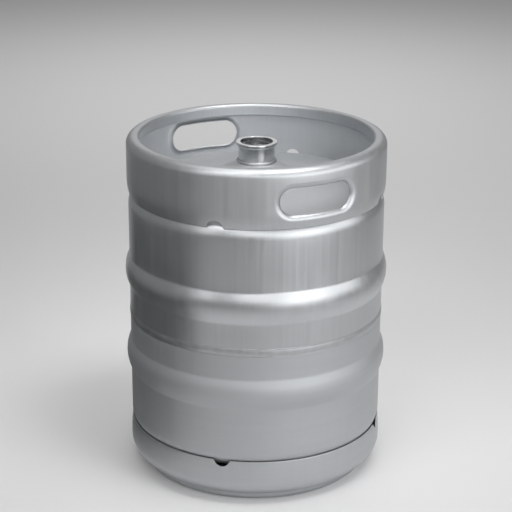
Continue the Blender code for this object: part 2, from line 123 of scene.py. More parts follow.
class KegShellSizes(bpy.types.PropertyGroup):
    """Sizes of the pressed vessel."""

    body_radius: length("Body Radius", "Outside of the straight wall", reach("girth_weld") - WELD_RISE)
    hoop_radius: length("Hoop Radius", "Outside of the rolling hoops", reach("upper_shell"))
    wall: length("Wall", "Sheet thickness of the vessel", 0.0015)
    girth: length("Girth", "Height of the girth weld", (low("girth_weld") + high("girth_weld")) / 2)
    hoop_offset: length("Hoop Offset", "From the girth to each hoop", 0.0690)
    hoop_arc: length("Hoop Arc", "Radius of a hoop's crest", 0.048)
    hoop_fillet: length("Hoop Fillet", "Radius where a hoop leaves the wall", 0.012)
    knuckle: length("Knuckle", "Radius between wall and head", 0.029)
    top_tangent: length("Top Tangent", "Height where the shoulder starts", 0.426)
    bottom_tangent: length("Bottom Tangent", "Height where the bottom starts", 0.087)
    top_crown: length("Top Crown", "Radius of the domed head", 0.800)
    bottom_crown: length("Bottom Crown", "Radius of the domed bottom", 0.700)
    boss_radius: length("Boss Radius", "Edge of the raised boss", 0.062)
    boss_top: length("Boss Top", "Height of the boss at the neck", high("upper_shell"))
    neck_hole: length("Neck Hole", "Radius of the hole for the neck", 0.0291)


class KegChimeSizes(bpy.types.PropertyGroup):
    """Sizes of the two chimes."""

    wall: length("Wall", "Sheet thickness of the chimes", 0.0018)
    radius: length("Radius", "Outside of the top chime's wall", reach("top_chime"))
    foot: length("Foot", "Height of the top chime's lower edge", low("top_chime"))
    rim: length("Rim", "Height of the rim", high("top_chime"))
    straight: length("Straight", "Height where the pinch starts", 0.467)
    pinch: length("Pinch", "Radius of the pinch above the foot", 0.084)
    skirt_radius: length("Skirt Radius", "Widest part of the bottom chime", reach("bottom_chime"))
    skirt_top: length("Skirt Top", "Height of the bottom chime's edge", high("bottom_chime"))
    skirt_widest: length("Skirt Widest", "Height of the widest part", 0.0386)
    skirt_edge: length("Skirt Edge", "Radius of the bottom chime's edge", 0.1973)
    hold_height: length("Hold Height", "Middle of the hand holds", 0.482)
    hold_length: length("Hold Length", "Half the clear length of a hand hold", 0.059)
    hold_rise: length("Hold Rise", "Half the clear height of a hand hold", 0.0195)
    hold_bend: length("Hold Bend", "Radius of the hand holds' lip", 0.010)
    hold_turn: turning("Hold Turn", "How far the hand holds' lip turns inward", radians(70))
    notch: length("Notch", "Radius of the drain notches", 0.0125)
    notch_fillet: length("Notch Fillet", "Radius of a notch's corners", 0.0025)
    low_notch_rise: length("Low Notch Rise", "Middle of the bottom notches above their edge", 0.0025)
    low_notch_turn: turning("Low Notch Turn", "Turn of the bottom notches from the top ones", radians(3))


class KegFinish(bpy.types.PropertyGroup):
    """Colours of the finishes."""

    sheet: tint("Sheet", "Pickled sheet steel", (0.60, 0.616, 0.634))
    # Lower shell and bottom chime take a darker copy of the sheet colour: painted shade on the keg's
    # lower half.
    lower_sheet: tint("Lower Sheet", "Pickled sheet of lower shell and chime", (0.54, 0.555, 0.571))
    # The keg's inside takes a paler copy of the sheet colour: painted light that brightens the recess,
    # the dome and the chimes' insides.
    sheltered: tint("Inside Painted Light", "Pickled sheet that nothing rubs on", (0.66, 0.676, 0.693))
    weld: tint("Weld", "Weld beads", (0.54, 0.553, 0.567))
    turned: tint("Turned", "Turned fittings", (0.70, 0.708, 0.715))
    spring: tint("Spring", "Spring wire", (0.55, 0.55, 0.56))
    ball: tint("Ball", "Polished ball", (0.72, 0.72, 0.73))
    rubber: tint("Rubber", "Seals", (0.012, 0.012, 0.013))
    floor: tint("Floor", "Studio floor", (0.82, 0.82, 0.82))
    card: tint("Card", "Dark card beside the keg, seen only in reflections", (0.10, 0.10, 0.10))


# Paths in the half plane of radius and height


def arc(centre, radius, start, end):
    """List points along an arc, angles measured from outward towards up."""
    count = max(1, ceil(abs(end - start) / radians(BEND_DEGREES) - TINY))
    points = []
    for i in range(count + 1):
        angle = start + (end - start) * i / count
        points.append((centre[0] + radius * cos(angle), centre[1] + radius * sin(angle)))
    return points


def joined(*runs):
    """Join runs of points, leaving out points that repeat."""
    points = []
    for run in runs:
        for point in run:
            if not points or dist(point, points[-1]) > TINY:
                points.append(point)
    return points


def between(start, end, share):
    """Give the point at a share of the way from one point to another."""
    return (start[0] + (end[0] - start[0]) * share, start[1] + (end[1] - start[1]) * share)


def along_path(path, distance):
    """Give the point at a distance along a path."""
    for start, end in zip(path, path[1:]):
        run = dist(start, end)
        if distance <= run:
            return between(start, end, distance / run)
        distance -= run
    return path[-1]


def corner_arc(corner, before, after, radius):
    """Round a corner that lies between two directions, from the first to the second."""
    opening = before.angle(after)
    centre = corner + (before + after).normalized() * radius / sin(opening / 2)
    start = corner + before * radius / tan(opening / 2) - centre
    end = corner + after * radius / tan(opening / 2) - centre
    first = atan2(start.y, start.x)
    return arc(centre, radius, first, first - start.angle_signed(end))


def rounded(corners):
    """Draw a closed outline through (radius, height, rounding) corners, each corner an arc."""
    count = len(corners)
    points = []
    for i, (r, z, rounding) in enumerate(corners):
        here = Vector((r, z))
        before = (Vector(corners[i - 1][:2]) - here).normalized()
        after = (Vector(corners[(i + 1) % count][:2]) - here).normalized()
        if rounding <= 0.0 or before.angle(after) > FLAT_ANGLE:
            points.append((r, z))
        else:
            points += corner_arc(here, before, after, rounding)
    return points


def spread(path, spacing):
    """Add points along the long straight stretches of a path."""
    points = [path[0]]
    for start, end in zip(path, path[1:]):
        count = max(1, round(dist(start, end) / spacing))
        points += [between(start, end, i / count) for i in range(1, count + 1)]
    return points


def shifted(path, distance):
    """Shift a path to its right-hand side, as seen along it, with sharp mitres cut short."""
    mitre_limit = 0.5
    normals = []
    for start, end in zip(path, path[1:]):
        run = Vector((end[0] - start[0], end[1] - start[1])).normalized()
        normals.append(Vector((run.y, -run.x)))
    points = []
    for i, (r, z) in enumerate(path):
        first = normals[max(0, i - 1)]
        second = normals[min(len(normals) - 1, i)]
        middle = (first + second).normalized()
        step = middle * distance / max(mitre_limit, middle.dot(first))
        points.append((r + step.x, z + step.y))
    return points


def sheet_outline(path, wall):
    """Close a path into a strip of sheet metal whose edges are lightly broken."""
    inner = shifted(path, wall)
    broken = 0.2

    def edge(tip, other, before):
        run = Vector(before) - Vector(tip)
        back = Vector(tip) + run.normalized() * wall * broken
        side = Vector(tip).lerp(Vector(other), broken)
        return tuple(back), tuple(side)

    outer_end, outer_side = edge(path[-1], inner[-1], path[-2])
    inner_end, inner_side = edge(inner[-1], path[-1], inner[-2])
    outer_start, outer_start_side = edge(path[0], inner[0], path[1])
    inner_start, inner_start_side = edge(inner[0], path[0], inner[1])
    outline = [outer_start_side, outer_start] + path[1:-1] + [outer_end, outer_side]
    outline += [inner_side, inner_end] + inner[-2:0:-1] + [inner_start, inner_start_side]
    return outline


# Meshes


def mesh_from(bm, name):
    """Turn a finished bmesh into a mesh and free it."""
    mesh = bpy.data.meshes.new(name)
    bm.to_mesh(mesh)
    bm.free()
    return mesh


def finish_mesh(name, mesh, surface):
    """Shade a mesh smooth between its sharp corners and link it as a piece."""
    mesh.shade_smooth()
    mesh.set_sharp_from_angle(angle=SHARP_ANGLE)
    mesh.materials.clear()
    mesh.materials.append(surface)
    piece = bpy.data.objects.new(name, mesh)
    bpy.context.scene.collection.objects.link(piece)
    return piece


def turned_mesh(name, outline, steps):
    """Turn a closed outline, outer side downwards first, about the keg's axis."""
    bm = bmesh.new()
    rings = []
    for r, z in outline:
        if r < TINY:
            rings.append([bm.verts.new((0.0, 0.0, z))] * steps)
            continue
        angles = [2 * pi * i / steps for i in range(steps)]
        rings.append([bm.verts.new((r * cos(a), r * sin(a), z)) for a in angles])
    for j, ring in enumerate(rings):
        below = rings[(j + 1) % len(rings)]
        if ring[0] is ring[1] and below[0] is below[1]:
            continue
        for i in range(steps):
            after = (i + 1) % steps
            corners = [ring[i], below[i], below[after], ring[after]]
            bm.faces.new(list(dict.fromkeys(corners)))
    return mesh_from(bm, name)


def turned(name, outline, steps, surface):
    """Turn a closed outline into a finished piece."""
    return finish_mesh(name, turned_mesh(name, outline, steps), surface)


def baked(piece):
    """Apply a piece's modifiers and shade the result anew."""
    graph = bpy.context.evaluated_depsgraph_get()
    mesh = bpy.data.meshes.new_from_object(piece.evaluated_get(graph))
    piece.modifiers.clear()
    piece.data = mesh
    mesh.shade_smooth()
    mesh.set_sharp_from_angle(angle=SHARP_ANGLE)
    return piece


def cut_box(piece, centre, size):
    """Cut a box out of a piece."""
    bm = bmesh.new()
    bmesh.ops.create_cube(bm, size=1.0)
    bmesh.ops.scale(bm, vec=size, verts=bm.verts)
    bmesh.ops.translate(bm, vec=centre, verts=bm.verts)
    cutter = bpy.data.objects.new("cutter", mesh_from(bm, "cutter"))
    bpy.context.scene.collection.objects.link(cutter)
    boolean = piece.modifiers.new("cut", 'BOOLEAN')
    boolean.operation = 'DIFFERENCE'
    boolean.object = cutter
    baked(piece)
    bpy.data.objects.remove(cutter)


def wire(name, points, radius, surface, sides=12):
    """Draw a round wire through points, with closed ends, as a mesh."""
    curve = bpy.data.curves.new(name, 'CURVE')
    curve.dimensions = '3D'
    curve.bevel_depth = radius
    curve.bevel_resolution = sides // 4
    curve.use_fill_caps = True
    spline = curve.splines.new('POLY')
    spline.points.add(len(points) - 1)
    for spot, place in zip(spline.points, points):
        spot.co = (*place, 1.0)
    guide = bpy.data.objects.new(name + "_guide", curve)
    bpy.context.scene.collection.objects.link(guide)
    graph = bpy.context.evaluated_depsgraph_get()
    mesh = bpy.data.meshes.new_from_object(guide.evaluated_get(graph))
    bpy.data.objects.remove(guide)
    bm = bmesh.new()
    bm.from_mesh(mesh)
    bmesh.ops.remove_doubles(bm, verts=bm.verts, dist=TINY)
    bm.to_mesh(mesh)
    bm.free()
    return finish_mesh(name, mesh, surface)


def stands_for(piece, body, slot, *nodes):
    """Let a piece take the place of solids and move with their body."""
    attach(piece, body)
    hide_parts(*nodes)


# Finishes


def new_material(name, colour, roughness, metallic):
    """Start a material and give its node tree, shader and object coordinates."""
    made = bpy.data.materials.new(name)
    made.use_nodes = True
    tree = made.node_tree
    shader = tree.nodes["Principled BSDF"]
    shader.inputs["Base Color"].default_value = (*colour, 1.0)
    shader.inputs["Roughness"].default_value = roughness
    shader.inputs["Metallic"].default_value = metallic
    place = tree.nodes.new("ShaderNodeTexCoord").outputs["Object"]
    return made, tree, shader, place


def noise(tree, place, stretch, detail=3.0):
    """Add noise with its own scale along each axis."""
    mapping = tree.nodes.new("ShaderNodeMapping")
    mapping.inputs["Scale"].default_value = stretch
    tree.links.new(place, mapping.inputs["Vector"])
    made = tree.nodes.new("ShaderNodeTexNoise")
    made.inputs["Scale"].default_value = 1.0
    made.inputs["Detail"].default_value = detail
    made.inputs["Roughness"].default_value = 0.55
    tree.links.new(mapping.outputs["Vector"], made.inputs["Vector"])
    return made.outputs["Fac"]


def combine(tree, operation, first, second):
    """Combine two values, each a socket or a number."""
    node = tree.nodes.new("ShaderNodeMath")
    node.operation = operation
    for socket, value in zip(node.inputs, (first, second)):
        if isinstance(value, (int, float)):
            socket.default_value = value
        else:
            tree.links.new(value, socket)
    return node.outputs[0]


def spanned(tree, value, lowest, highest):
    """Map noise about its middle to a range."""
    node = tree.nodes.new("ShaderNodeMapRange")
    node.inputs["From Min"].default_value = 0.25
    node.inputs["From Max"].default_value = 0.75
    node.inputs["To Min"].default_value = lowest
    node.inputs["To Max"].default_value = highest
    tree.links.new(value, node.inputs["Value"])
    return node.outputs["Result"]


def shaded(tree, shader, value, colour, darkest):
    """Vary the base colour between a darker tone and itself."""
    factor, first, second, result = 0, 6, 7, 2  # the mix node's sockets for colours
    mix = tree.nodes.new("ShaderNodeMix")
    mix.data_type = 'RGBA'
    mix.inputs[first].default_value = (*[c * darkest for c in colour], 1.0)
    mix.inputs[second].default_value = (*colour, 1.0)
    tree.links.new(value, mix.inputs[factor])
    tree.links.new(mix.outputs[result], shader.inputs["Base Color"])


def bumped(tree, shader, value, distance, strength):
    """Raise the surface by a pattern."""
    node = tree.nodes.new("ShaderNodeBump")
    node.inputs["Strength"].default_value = strength
    node.inputs["Distance"].default_value = distance
    tree.links.new(value, node.inputs["Height"])
    tree.links.new(node.outputs["Normal"], shader.inputs["Normal"])


def pickled_sheet(name, colour, roughness, rolled=0.0):
    """Make pickled sheet steel: fine upright draw marks, cloudy gloss and a pebbly grain.

    Sheet that was rolled round the keg has faint level bands as well.
    """
    made, tree, shader, place = new_material(name, colour, roughness, metallic=1.0)
    streaks = noise(tree, place, (230.0, 230.0, 5.0), detail=4.0)
    clouds = noise(tree, place, (9.0, 9.0, 14.0))
    grain = noise(tree, place, (1600.0, 1600.0, 1100.0), detail=2.0)
    bands = noise(tree, place, (1.5, 1.5, 130.0))
    band_tone = 5.0 * rolled
    gloss = combine(tree, 'ADD', spanned(tree, streaks, -0.05, 0.05),
                    spanned(tree, clouds, roughness - 0.03, roughness + 0.03))
    gloss = combine(tree, 'ADD', gloss, spanned(tree, bands, -rolled, rolled))
    tree.links.new(gloss, shader.inputs["Roughness"])
    tone = combine(tree, 'MULTIPLY', spanned(tree, streaks, 0.35, 1.0), spanned(tree, clouds, 0.7, 1.0))
    tone = combine(tree, 'MULTIPLY', tone, spanned(tree, bands, 1.0 - band_tone, 1.0))
    shaded(tree, shader, tone, colour, darkest=0.86)
    relief = combine(tree, 'ADD', combine(tree, 'MULTIPLY', streaks, 0.6),
                     combine(tree, 'MULTIPLY', grain, 0.4))
    bumped(tree, shader, relief, distance=0.00006, strength=0.35)
    return made


def weld_bead(name, colour, ripples):
    """Make a weld bead: ripples along the seam and a dull, heat-stained tone."""
    made, tree, shader, place = new_material(name, colour, roughness=0.42, metallic=1.0)
    split = tree.nodes.new("ShaderNodeSeparateXYZ")
    tree.links.new(place, split.inputs[0])
    angle = combine(tree, 'ARCTAN2', split.outputs["Y"], split.outputs["X"])
    wave = combine(tree, 'SINE', combine(tree, 'MULTIPLY', angle, float(ripples)), 0.0)
    uneven = noise(tree, place, (120.0, 120.0, 120.0))
    relief = combine(tree, 'ADD', combine(tree, 'MULTIPLY', wave, 0.3), uneven)
    tree.links.new(spanned(tree, uneven, 0.34, 0.5), shader.inputs["Roughness"])
    shaded(tree, shader, spanned(tree, uneven, 0.4, 1.0), colour, darkest=0.75)
    bumped(tree, shader, relief, distance=0.0002, strength=0.5)
    return made


def turned_steel(name, colour, roughness, cut):
    """Make a turned fitting: fine tool rings round the axis, cut more or less deep."""
    made, tree, shader, place = new_material(name, colour, roughness, metallic=1.0)
    rings = noise(tree, place, (60.0, 60.0, 2600.0))
    clouds = noise(tree, place, (40.0, 40.0, 40.0))
    gloss = combine(tree, 'ADD', spanned(tree, rings, -0.03, 0.03),
                    spanned(tree, clouds, roughness - 0.02, roughness + 0.03))
    tree.links.new(gloss, shader.inputs["Roughness"])
    shaded(tree, shader, spanned(tree, clouds, 0.5, 1.0), colour, darkest=0.88)
    bumped(tree, shader, rings, distance=0.00003, strength=cut)
    return made


def spring_wire(name, colour):
    """Make drawn spring wire with faint die marks."""
    made, tree, shader, place = new_material(name, colour, roughness=0.3, metallic=1.0)
    marks = noise(tree, place, (500.0, 500.0, 900.0))
    tree.links.new(spanned(tree, marks, 0.22, 0.36), shader.inputs["Roughness"])
    shaded(tree, shader, spanned(tree, marks, 0.3, 1.0), colour, darkest=0.8)
    bumped(tree, shader, marks, distance=0.00003, strength=0.3)
    return made


def polished_ball(name, colour):
    """Make a ground and polished ball with a trace of haze."""
    made, tree, shader, place = new_material(name, colour, roughness=0.12, metallic=1.0)
    haze = noise(tree, place, (180.0, 180.0, 180.0))
    tree.links.new(spanned(tree, haze, 0.08, 0.17), shader.inputs["Roughness"])
    shaded(tree, shader, spanned(tree, haze, 0.6, 1.0), colour, darkest=0.92)
    return made


def seal_rubber(name, colour):
    """Make matt moulded rubber with a fine grain and a dusty bloom."""
    made, tree, shader, place = new_material(name, colour, roughness=0.6, metallic=0.0)
    bloom = noise(tree, place, (90.0, 90.0, 90.0), detail=4.0)
    grain = noise(tree, place, (1500.0, 1500.0, 1500.0), detail=2.0)
    tree.links.new(spanned(tree, bloom, 0.5, 0.72), shader.inputs["Roughness"])
    shaded(tree, shader, spanned(tree, bloom, 0.2, 1.0), colour, darkest=0.5)
    bumped(tree, shader, grain, distance=0.00008, strength=0.4)
    return made


def matt_ground(name, colour):
    """Make a matt ground with a barely visible unevenness."""
    made, tree, shader, place = new_material(name, colour, roughness=0.7, metallic=0.0)
    clouds = noise(tree, place, (0.8, 0.8, 0.8), detail=2.0)
    shaded(tree, shader, spanned(tree, clouds, 0.5, 1.0), colour, darkest=0.97)
    return made


# Shells


def hoop_path(shell, centre):
    """Draw one rolling hoop down from the wall, over its crest and back to the wall."""
    crest_r = shell.hoop_radius - shell.hoop_arc
    side_r = shell.body_radius + shell.hoop_fillet
    rise = sqrt((shell.hoop_arc + shell.hoop_fillet) ** 2 - (side_r - crest_r) ** 2)
    meet = atan2(rise, side_r - crest_r)
    upper = arc((side_r, centre + rise), shell.hoop_fillet, pi, pi + meet)
    crest = arc((crest_r, centre), shell.hoop_arc, meet, -meet)
    lower = arc((side_r, centre - rise), shell.hoop_fillet, pi - meet, pi)
    return joined(upper, crest, lower)


def crown_base(shell, crown):
    """Give the distance from a crown's centre to its tangent line."""
    return sqrt((crown - shell.knuckle) ** 2 - (shell.body_radius - shell.knuckle) ** 2)


def crown_arc(shell, crown, base_height, inner, side):
    """Draw a crown from an inner radius out to its knuckle; side is 1 for a head, -1 for a bottom."""
    base = crown_base(shell, crown)
    outer = crown * (shell.body_radius - shell.knuckle) / (crown - shell.knuckle)
    count = 14
    points = []
    for i in range(count + 1):
        r = inner + (outer - inner) * i / count
        points.append((r, base_height + side * (sqrt(crown ** 2 - r ** 2) - base)))
    return points


def upper_shell_path(shell):
    """Draw the upper shell's outside from the neck hole down to the girth."""
    crown = crown_arc(shell, shell.top_crown, shell.top_tangent, shell.boss_radius, 1)
    cone_fillet = 0.014
    clear = 0.001
    hole = Vector((shell.neck_hole, shell.boss_top))
    corner = Vector(crown[0])
    up = (hole - corner).normalized()
    out = (Vector(crown[1]) - corner).normalized()
    bend = corner_arc(corner, up, out, cone_fillet)
    crown = [point for point in crown if point[0] > bend[-1][0] + clear]
    meet = pi / 2 - atan2(shell.body_radius - shell.knuckle, crown_base(shell, shell.top_crown))
    knuckle_centre = (shell.body_radius - shell.knuckle, shell.top_tangent)
    knuckle = arc(knuckle_centre, shell.knuckle, meet, 0.0)
    hoop = hoop_path(shell, shell.girth + shell.hoop_offset)
    end_point = [(shell.body_radius, low("upper_shell"))]
    return spread(joined([tuple(hole)], bend, crown, knuckle, hoop, end_point), ROW_SPACING)


def lower_shell_path(shell):
    """Draw the lower shell's outside from the girth down to the middle of its bottom."""
    start_point = [(shell.body_radius, high("lower_shell"))]
    hoop = hoop_path(shell, shell.girth - shell.hoop_offset)
    meet = atan2(shell.body_radius - shell.knuckle, crown_base(shell, shell.bottom_crown)) - pi / 2
    knuckle_centre = (shell.body_radius - shell.knuckle, shell.bottom_tangent)
    knuckle = arc(knuckle_centre, shell.knuckle, 0.0, meet)
    crown = crown_arc(shell, shell.bottom_crown, shell.bottom_tangent, 0.0, -1)[::-1]
    return spread(joined(start_point, hoop, knuckle, crown), ROW_SPACING)


def lower_shell_outline(shell):
    """Close the lower shell's outside into sheet metal that meets the axis."""
    path = lower_shell_path(shell)
    inner = shifted(path, shell.wall)
    inner[-1] = (0.0, inner[-1][1])
    return path + inner[::-1]


def weld_outline(shell):
    """Draw the girth weld: a crowned cap between two undercut edges, and its root."""
    inner = shell.body_radius + GAP
    outer = shell.body_radius + WELD_RISE
    half = (high("girth_weld") - low("girth_weld")) / 2
    root = shell.body_radius - shell.wall
    root_half = 0.001
    toe = half - 0.0014
    crown_steps = 8
    crown = []
    for i in range(crown_steps + 1):
        share = i / crown_steps
        crown.append((inner + (outer - inner) * (1.0 - share ** 2), toe * share))
    lip = [(inner - 0.0001, half), (inner + 0.0002, half - 0.0002)]
    undercut = (inner + 0.00015, half - 0.0007)
    side = [*lip, undercut]
    cap = side + crown[::-1] + [(r, -z) for r, z in crown[1:]] + [(r, -z) for r, z in side[::-1]]
    stem = [(inner, -root_half), (root, -root_half), (root, root_half), (inner, root_half)]
    return [(r, z + shell.girth) for r, z in cap + stem]


# Chimes

# Columns of a chime's sheet: half the angle and the number over a notch, and the step elsewhere
NOTCH_HALF_ANGLE = radians(7.5)
NOTCH_COLUMNS = 44
COLUMN_STEP = radians(1.0)

# Middles of the hand holds, and half the angle of the patch of sheet round each
HOLD_ANGLES = (radians(90), radians(270))
HOLD_HALF_ANGLE = radians(27)


def pinched(chime, z):
    """Give the top chime's outer radius at one height of its wall."""
    drop = max(0.0, chime.straight - z)
    return chime.radius - chime.pinch + sqrt(chime.pinch ** 2 - drop ** 2)


def rim_path(chime):
    """Draw the rolled rim from the wall, over the top and round to its tucked-in edge."""
    round_out = 0.0125
    flat = 0.003
    round_in = 0.0045
    curl = 0.005
    curl_low = 0.512
    tail = 0.192
    row_spacing = 0.004
    flat_out = chime.radius - round_out
    flat_in = flat_out - flat
    inner = flat_in - round_in
    over = arc((flat_out, chime.rim - round_out), round_out, 0.0, pi / 2)
    down = arc((flat_in, chime.rim - round_in), round_in, pi / 2, pi)
    under = arc((inner + curl, curl_low + curl), curl, pi, 3 * pi / 2)
    return spread(joined(over, down, under, [(tail, curl_low)]), row_spacing)


def notch_edge(chime, half_width, count, rise):
    """List (along, in) points on an edge with one half-moon notch whose corners are rounded.

    The notch's middle stands off the edge by the rise.
    """
    spacing = 0.0008
    fillet = chime.notch_fillet
    corner = sqrt((chime.notch + fillet) ** 2 - (fillet + rise) ** 2)
    lean = atan2(fillet + rise, corner)
    side = spread([(-half_width, 0.0), (-corner, 0.0)], spacing)
    side += arc((-corner, fillet), fillet, -pi / 2, -lean)
    moon = arc((0.0, -rise), chime.notch, pi - lean, pi / 2)
    left = joined(side, spread(moon, spacing))
    whole = joined(left, [(-u, v) for u, v in left[::-1]])
    total = sum(dist(start, end) for start, end in zip(whole, whole[1:]))
    return [along_path(whole, total * i / count) for i in range(count + 1)]


def chime_columns():
    """List a chime's columns as (angle, notch point number or None, angle of the last notch)."""
    columns = []
    for quarter in range(4):
        middle = radians(45) + quarter * pi / 2
        start = middle - NOTCH_HALF_ANGLE
        for i in range(NOTCH_COLUMNS):
            columns.append((start + 2 * NOTCH_HALF_ANGLE * i / NOTCH_COLUMNS, i, middle))
        plain = pi / 2 - 2 * NOTCH_HALF_ANGLE
        count = round(plain / COLUMN_STEP)
        after = middle + NOTCH_HALF_ANGLE
        columns += [(after + plain * i / count, None, middle) for i in range(count)]
    return columns


def notched_grid(bm, chime, path, zone, zone_rows, rise=0.0, turn=0.0):
    """Lay out a chime's sheet in columns and rows, its first edge notched on the diagonals."""
    columns = [(angle + turn, number, middle + turn) for angle, number, middle in chime_columns()]
    edge_r = path[0][0]
    edge = notch_edge(chime, NOTCH_HALF_ANGLE * edge_r, NOTCH_COLUMNS, rise)
    walked = 0.0
    rest = []
    for start, end in zip(path, path[1:]):
        walked += dist(start, end)
        if walked > zone + TINY:
            rest.append(end)
    grid = []
    for row in range(zone_rows + 1):
        share = row / zone_rows
        line = []
        for angle, number, middle in columns:
            place = angle
            distance = zone * share
            if number is not None:
                u, v = edge[number]
                place = middle + (1 - share) * u / edge_r + share * (angle - middle)
                distance = (1 - share) * v + share * zone
            r, z = along_path(path, distance)
            line.append(bm.verts.new((r * cos(place), r * sin(place), z)))
        grid.append(line)
    for r, z in rest:
        grid.append([bm.verts.new((r * cos(a), r * sin(a), z)) for a, number, middle in columns])
    return columns, grid


def fill_grid(bm, grid, skipped=()):
    """Fill a grid that closes on itself with faces, apart from the cells skipped."""
    count = len(grid[0])
    for row in range(len(grid) - 1):
        for column in range(count):
            if (row, column) in skipped:
                continue
            after = (column + 1) % count
            bm.faces.new((grid[row][column], grid[row][after],
                          grid[row + 1][after], grid[row + 1][column]))


def long_hole(chime, u, v, half_width, half_height):
    """Match a point on a rectangle to a hole with round ends: its core point and its normal."""
    core = chime.hold_length - chime.hold_rise
    straight = half_width / 2
    if abs(u) <= straight:
        return u * core / straight, 0.0, copysign(1.0, v)
    walked = abs(u) - straight + half_height - abs(v)
    turn = pi / 2 * (1.0 - walked / (half_width - straight + half_height))
    return copysign(core, u), copysign(cos(turn), u), copysign(sin(turn), v)


def hold_rings(chime):
    """List the lip's rings as (share of the way in from the border, radius, depth)."""
    bend_steps = 12
    wall_steps = 8
    start = chime.hold_rise + chime.hold_bend
    rings = [(i / wall_steps, start, 0.0) for i in range(1, wall_steps + 1)]
    for i in range(1, bend_steps + 1):
        turn = chime.hold_turn * i / bend_steps
        rings.append((1.0, start - chime.hold_bend * sin(turn), chime.hold_bend * (1.0 - cos(turn))))
    return rings


def hold_lip(bm, chime, border, outline, hold):
    """Bend the sheet inward round one hand hold."""
    half_width = max(u for u, v in outline)
    half_height = max(v for u, v in outline)
    last = border
    for share, radius, depth in hold_rings(chime):
        ring = []
        for u, v in outline:
            core_u, normal_u, normal_v = long_hole(chime, u, v, half_width, half_height)
            along = u + (core_u + normal_u * radius - u) * share
            up = v + (normal_v * radius - v) * share
            z = chime.hold_height + up
            r = pinched(chime, z) - depth
            angle = hold + along / chime.radius
            ring.append(bm.verts.new((r * cos(angle), r * sin(angle), z)))
        for i in range(len(ring)):
            after = (i + 1) % len(ring)
            bm.faces.new((last[i], last[after], ring[after], ring[i]))
        last = ring


def top_chime_mesh(chime):
    """Make the top chime's outer surface with its notches and hand holds."""
    zone = 0.018
    zone_rows = 6
    lip_row = 3
    upper_rows = 14
    foot_steps = 20
    heights = [chime.foot + zone * i / foot_steps for i in range(foot_steps + 2)]
    foot_wall = [(pinched(chime, z), z) for z in heights]
    patch_low = along_path(foot_wall, zone * lip_row / zone_rows)[1]
    patch_high = 2 * chime.hold_height - patch_low
    zone_end = along_path(foot_wall, zone)
    wall = [point for point in foot_wall if point[1] < zone_end[1] - TINY] + [zone_end]
    for i in range(1, upper_rows + 1):
        z = zone_end[1] + (patch_high - zone_end[1]) * i / upper_rows
        wall.append((pinched(chime, z), z))
    bm = bmesh.new()
    columns, grid = notched_grid(bm, chime, joined(wall, rim_path(chime)), zone, zone_rows)
    first, last = lip_row, zone_rows + upper_rows
    skipped = set()
    lips = []
    for hold in HOLD_ANGLES:
        across = [i for i, (angle, number, middle) in enumerate(columns)
                  if abs(angle - hold) < HOLD_HALF_ANGLE + COLUMN_STEP / 4]
        skipped |= {(row, i) for row in range(first, last) for i in across[:-1]}
        border = [(first, i) for i in across]
        border += [(row, across[-1]) for row in range(first + 1, last)]
        border += [(last, i) for i in reversed(across)]
        border += [(row, across[0]) for row in range(last - 1, first, -1)]
        outline = [((columns[i][0] - hold) * chime.radius, grid[row][i].co.z - chime.hold_height)
                   for row, i in border]
        lips.append(([grid[row][i] for row, i in border], outline, hold))
    fill_grid(bm, grid, skipped)
    for border, outline, hold in lips:
        hold_lip(bm, chime, border, outline, hold)
    return mesh_from(bm, "top_chime_sheet")


def skirt_path(chime):
    """Draw the bottom chime's outside from its notched edge down and round its foot."""
    round_r = 0.0233
    turn = radians(72)
    fillet_r = 0.008
    foot_half = radians(15)
    tail_turn = radians(225)
    barrel_steps = 12
    rise = chime.skirt_top - chime.skirt_widest
    drop = chime.skirt_radius - chime.skirt_edge
    barrel_r = (rise ** 2 + drop ** 2) / (2 * drop)
    barrel = []
    for i in range(barrel_steps + 1):
        above = rise - rise * i / barrel_steps
        r = chime.skirt_radius - barrel_r + sqrt(barrel_r ** 2 - above ** 2)
        barrel.append((r, chime.skirt_widest + above))
    shoulder = arc((chime.skirt_radius - round_r, chime.skirt_widest), round_r, 0.0, -turn)
    end_r, end_z = shoulder[-1]
    fillet = arc((end_r + fillet_r * cos(turn), end_z - fillet_r * sin(turn)), fillet_r, pi - turn, pi)
    side_r, side_z = fillet[-1]
    foot_r = side_z / cos(foot_half)
    centre = (side_r - foot_r, side_z)
    outer = arc(centre, foot_r, 0.0, foot_half - pi / 2)
    inner = arc(centre, foot_r, -foot_half - pi / 2, -tail_turn)
    return joined(barrel, shoulder, fillet, outer, inner)


def bottom_chime_mesh(chime):
    """Make the bottom chime's outer surface with its notches."""
    zone = 0.0175
    zone_rows = 8
    bm = bmesh.new()
    columns, grid = notched_grid(bm, chime, skirt_path(chime), zone, zone_rows,
                                 chime.low_notch_rise, chime.low_notch_turn)
    fill_grid(bm, grid)
    bmesh.ops.reverse_faces(bm, faces=bm.faces)
    return mesh_from(bm, "bottom_chime_sheet")


def chime_piece(name, mesh, wall, surface, inside):
    """Give a chime's outer surface the thickness of its sheet, and its inside the paler sheet, which is
    painted light.
    """
    piece = finish_mesh(name, mesh, surface)
    piece.data.materials.append(inside)
    solid = piece.modifiers.new("wall", 'SOLIDIFY')
    solid.thickness = wall
    solid.offset = -1.0
    solid.use_even_offset = True
    # The inner side takes the second material, the paler sheet that is painted light.
    solid.material_offset = 1
    edges = piece.modifiers.new("edges", 'BEVEL')
    edges.width = wall * 0.3
    edges.segments = 2
    edges.limit_method = 'ANGLE'
    edges.angle_limit = radians(60)
    return baked(piece)


# Neck, valve and spear

# Outside of the neck below its lip, and the beer's way through the spear
NECK_RADIUS = 0.0279
BEER_WAY = 0.007


